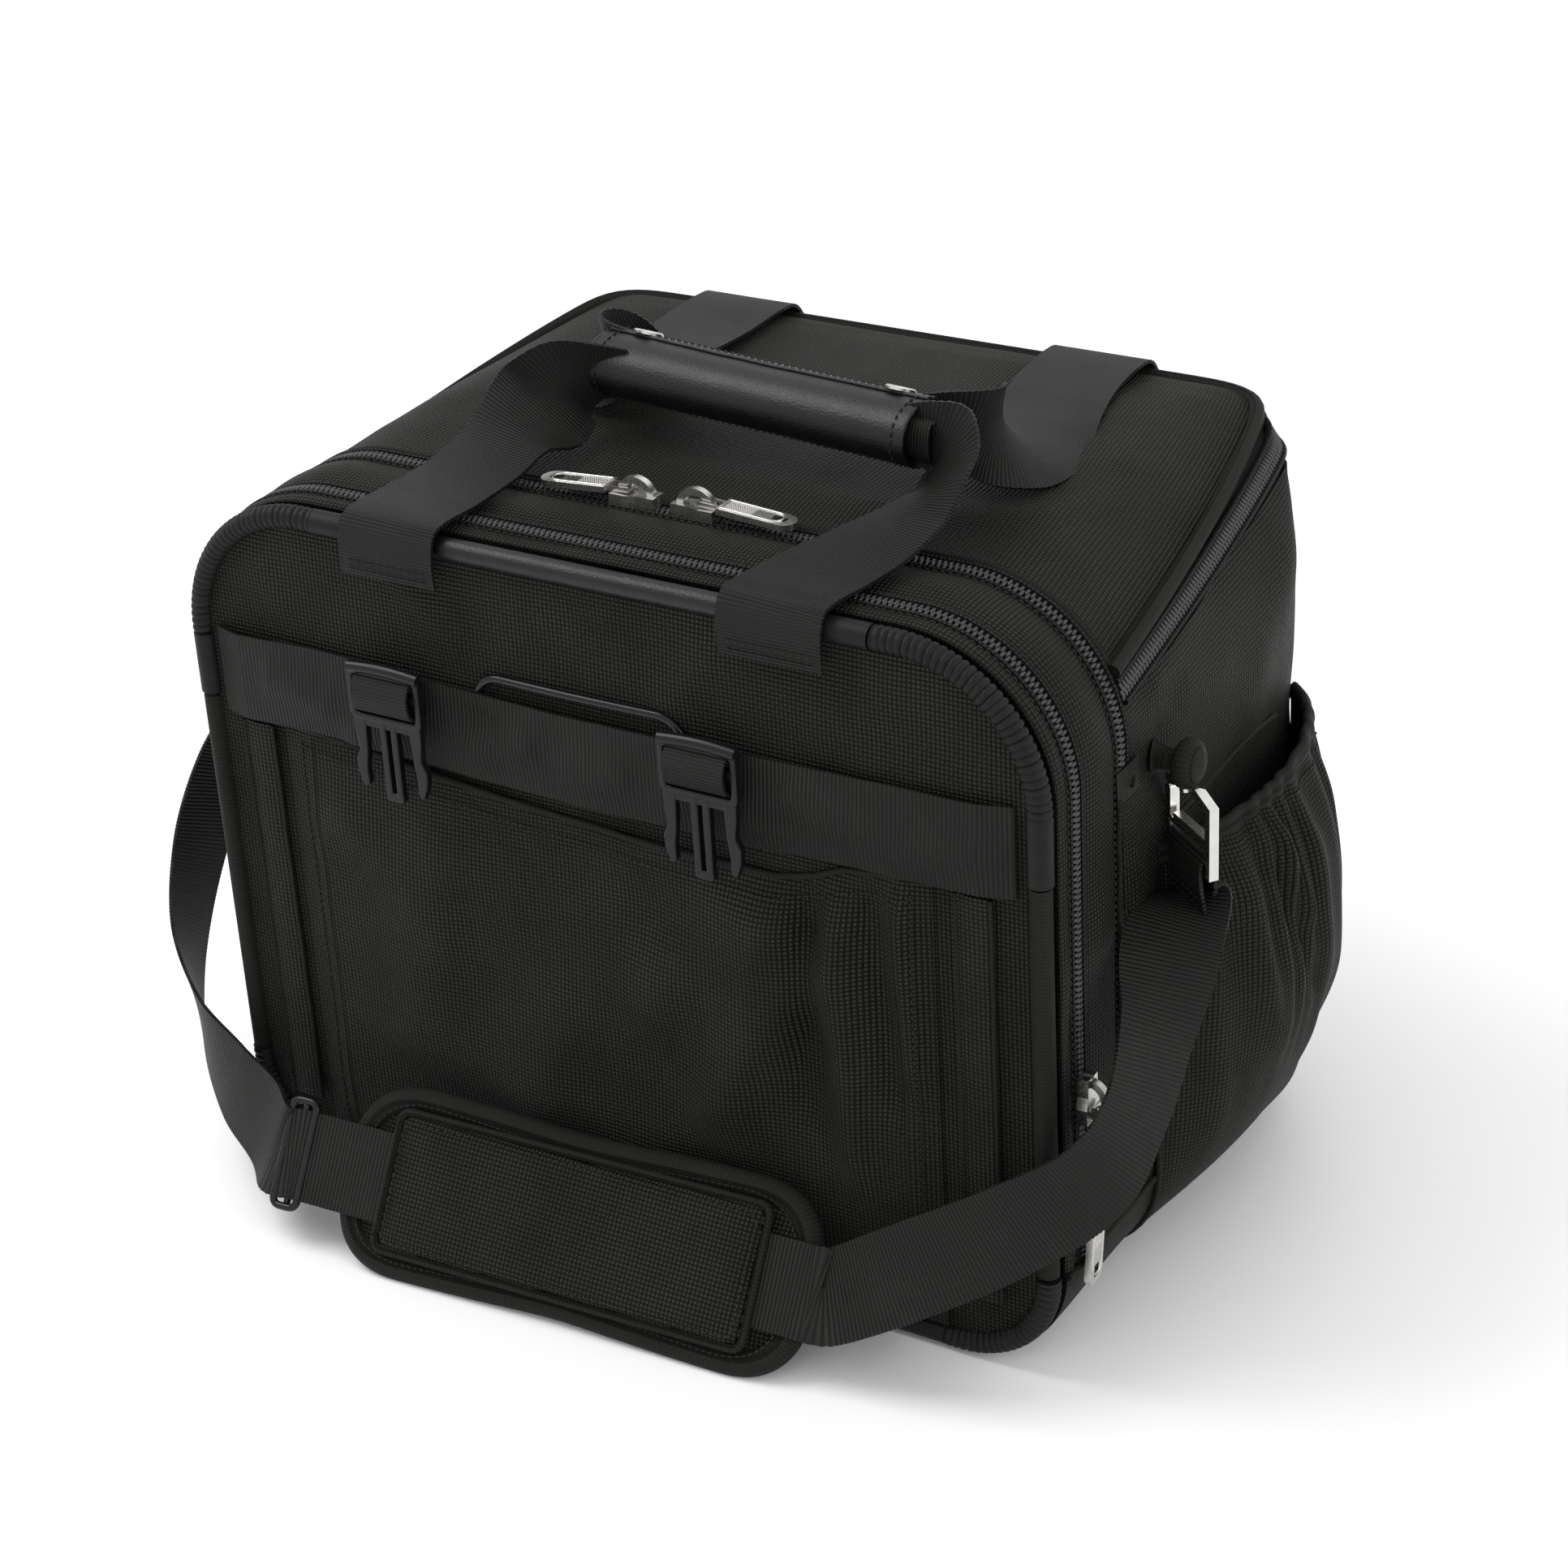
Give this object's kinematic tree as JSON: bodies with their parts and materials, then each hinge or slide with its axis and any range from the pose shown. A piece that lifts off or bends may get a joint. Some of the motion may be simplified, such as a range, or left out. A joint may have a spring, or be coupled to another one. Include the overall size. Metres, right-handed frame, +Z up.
{
  "type": "flight bag",
  "caption": "Soft black flight bag with a zipped lid, carry handles under a leather grip, side pockets, front buckles and a padded shoulder strap on snap hooks.",
  "frame": {"origin": "centre of the bag's flat base, on the floor", "axes": "+Z up, +X to the bag's own right seen from the front, -Y out of the front panel with the buckles"},
  "size_m": [0.493, 0.3596, 0.36],
  "materials": {
    "nylon": "coarse ballistic nylon weave, low sheen",
    "webbing": "ribbed woven webbing",
    "zipper_tape": "woven tape with a black nylon coil",
    "rubber": "satin moulded rubber",
    "leather": "smooth black leather, semi-gloss",
    "black_plastic": "glossy black acetal and coated wire",
    "nickel": "satin nickel plating",
    "board": "matte stiffener board"
  },
  "bodies": {
    "bag": {"front_panel": "nylon", "front_gusset": "nylon", "middle_gusset": "nylon", "main_shell": "nylon", "base_tray": "nylon", "bottom_board": "board", "front_divider": "nylon", "rear_divider": "nylon", "zipper_1": "zipper_tape", "zipper_2": "zipper_tape", "zipper_3": "zipper_tape", "ribbed_piping": "rubber", "smooth_piping": "rubber", "covered_piping": "nylon", "front_band": "webbing", "front_pocket": "nylon", "buckle_loop_left": "webbing", "buckle_loop_right": "webbing", "side_pocket_right": "nylon", "side_pocket_left": "nylon", "pocket_binding_right": "webbing", "pocket_binding_left": "webbing", "strap_stud_right": "webbing", "strap_stud_left": "webbing", "handle_anchors": "webbing"},
    "lid": {"lid_panel": "nylon", "lid_binding": "webbing"},
    "front_handle": {"front_grip_core": "webbing", "front_arms": "webbing", "grip_wrap": "leather"},
    "flap": {"grip_flap": "leather", "snap_caps": "nickel"},
    "rear_handle": {"rear_grip_core": "webbing", "rear_arms": "webbing"},
    "left_buckle": {"buckle_left": "black_plastic"},
    "right_buckle": {"buckle_right": "black_plastic"},
    "bail": {"wire_bail": "black_plastic"},
    "slider_1_upper_body": {"slider_1_upper": "nickel"},
    "pull_1_upper_body": {"pull_1_upper": "nickel"},
    "slider_1_lower_body": {"slider_1_lower": "nickel"},
    "pull_1_lower_body": {"pull_1_lower": "nickel"},
    "slider_2_left_body": {"slider_2_left": "nickel"},
    "pull_2_left_body": {"pull_2_left": "nickel"},
    "slider_2_right_body": {"slider_2_right": "nickel"},
    "pull_2_right_body": {"pull_2_right": "nickel"},
    "slider_3_left_body": {"slider_3_left": "nickel"},
    "pull_3_left_body": {"pull_3_left": "nickel"},
    "slider_3_right_body": {"slider_3_right": "nickel"},
    "pull_3_right_body": {"pull_3_right": "nickel"},
    "strap": {"strap_left": "webbing", "strap_right": "webbing", "strap_front": "webbing", "strap_adjuster": "black_plastic", "hook_right": "nickel", "hook_left": "nickel"},
    "pad": {"pad_base": "nylon", "pad_sleeve": "nylon"},
    "right_gate": {"gate_right": "nickel"},
    "left_gate": {"gate_left": "nickel"}
  },
  "joints": [
    {"name": "lid_open", "type": "hinge", "parent": "bag", "child": "lid", "pos_m": [0, -0.074, 0.3175], "axis": [-1, 0, 0], "range_deg": [-80, 0]},
    {"name": "front_handle_swing", "type": "hinge", "parent": "bag", "child": "front_handle", "pos_m": [0, -0.142, 0.314], "axis": [1, 0, 0], "range_deg": [0, 120], "deforming": ["front_arms"]},
    {"name": "rear_handle_swing", "type": "hinge", "parent": "bag", "child": "rear_handle", "pos_m": [0, 0.143, 0.306], "axis": [-1, 0, 0], "range_deg": [0, 160], "deforming": ["rear_arms"]},
    {"name": "flap_open", "type": "hinge", "parent": "front_handle", "child": "flap", "pos_m": [0.016, -0.027, 0.3345], "axis": [-0.9945, 0.1045, 0], "range_deg": [0, 100], "deforming": ["grip_flap"]},
    {"name": "left_buckle_swing", "type": "hinge", "parent": "bag", "child": "left_buckle", "pos_m": [-0.09, -0.1525, 0.249], "axis": [-1, 0, 0], "range_deg": [-4, 42]},
    {"name": "right_buckle_swing", "type": "hinge", "parent": "bag", "child": "right_buckle", "pos_m": [0.058, -0.1525, 0.249], "axis": [-1, 0, 0], "range_deg": [-4, 42]},
    {"name": "bail_slide", "type": "slide", "parent": "bag", "child": "bail", "axis": [0, 0, 1], "range_m": [0, 0.018]},
    {"name": "slider_1_upper_slide", "type": "slide", "parent": "bag", "child": "slider_1_upper_body", "axis": [0, 0, 1], "range_m": [0, 0.11]},
    {"name": "slider_1_lower_slide", "type": "slide", "parent": "bag", "child": "slider_1_lower_body", "axis": [0, 0, 1], "range_m": [-0.02, 0]},
    {"name": "slider_2_left_slide", "type": "slide", "parent": "bag", "child": "slider_2_left_body", "axis": [1, 0, 0], "range_m": [-0.11, 0]},
    {"name": "slider_2_right_slide", "type": "slide", "parent": "bag", "child": "slider_2_right_body", "axis": [1, 0, 0], "range_m": [0, 0.11]},
    {"name": "slider_3_left_slide", "type": "slide", "parent": "bag", "child": "slider_3_left_body", "axis": [1, 0, 0], "range_m": [-0.035, 0]},
    {"name": "slider_3_right_slide", "type": "slide", "parent": "bag", "child": "slider_3_right_body", "axis": [1, 0, 0], "range_m": [0, 0.035]},
    {"name": "pull_1_upper_swing", "type": "hinge", "parent": "slider_1_upper_body", "child": "pull_1_upper_body", "pos_m": [0.2073, -0.118, 0.1192], "axis": [0, -1, 0], "range_deg": [0, 10]},
    {"name": "pull_1_lower_swing", "type": "hinge", "parent": "slider_1_lower_body", "child": "pull_1_lower_body", "pos_m": [0.2073, -0.118, 0.0772], "axis": [0, -1, 0], "range_deg": [0, 90]},
    {"name": "pull_2_left_swing", "type": "hinge", "parent": "slider_2_left_body", "child": "pull_2_left_body", "pos_m": [-0.0138, -0.08, 0.3233], "axis": [0, 1, 0], "range_deg": [0, 140]},
    {"name": "pull_2_right_swing", "type": "hinge", "parent": "slider_2_right_body", "child": "pull_2_right_body", "pos_m": [0.0198, -0.08, 0.3233], "axis": [0, -1, 0], "range_deg": [0, 140]},
    {"name": "pull_3_left_swing", "type": "hinge", "parent": "slider_3_left_body", "child": "pull_3_left_body", "pos_m": [-0.018, 0.14946, 0.30485], "axis": [1, 0, 0], "range_deg": [0, 140]},
    {"name": "pull_3_right_swing", "type": "hinge", "parent": "slider_3_right_body", "child": "pull_3_right_body", "pos_m": [0.012, 0.14946, 0.30485], "axis": [1, 0, 0], "range_deg": [0, 140]},
    {"name": "strap_swing", "type": "hinge", "parent": "bag", "child": "strap", "pos_m": [0, -0.052, 0.238], "axis": [-1, 0, 0], "range_deg": [0, 144]},
    {"name": "pad_slide", "type": "slide", "parent": "strap", "child": "pad", "axis": [0.9976, 0.0698, 0], "range_m": [-0.012, 0.004]},
    {"name": "right_gate_open", "type": "hinge", "parent": "strap", "child": "right_gate", "pos_m": [0.20436, -0.04452, 0.211], "axis": [0.6, 0.8, 0], "range_deg": [0, 25], "stiffness_Nm_per_rad": 0.02},
    {"name": "left_gate_open", "type": "hinge", "parent": "strap", "child": "left_gate", "pos_m": [-0.20436, -0.04452, 0.211], "axis": [0.6, -0.8, 0], "range_deg": [0, 25], "stiffness_Nm_per_rad": 0.02}
  ],
  "couplings": [
    {"joint": "front_handle_swing", "follows": "lid_open", "ratio": -1.5},
    {"joint": "rear_handle_swing", "follows": "lid_open", "ratio": -2},
    {"joint": "flap_open", "follows": "lid_open", "ratio": -1.25}
  ]
}
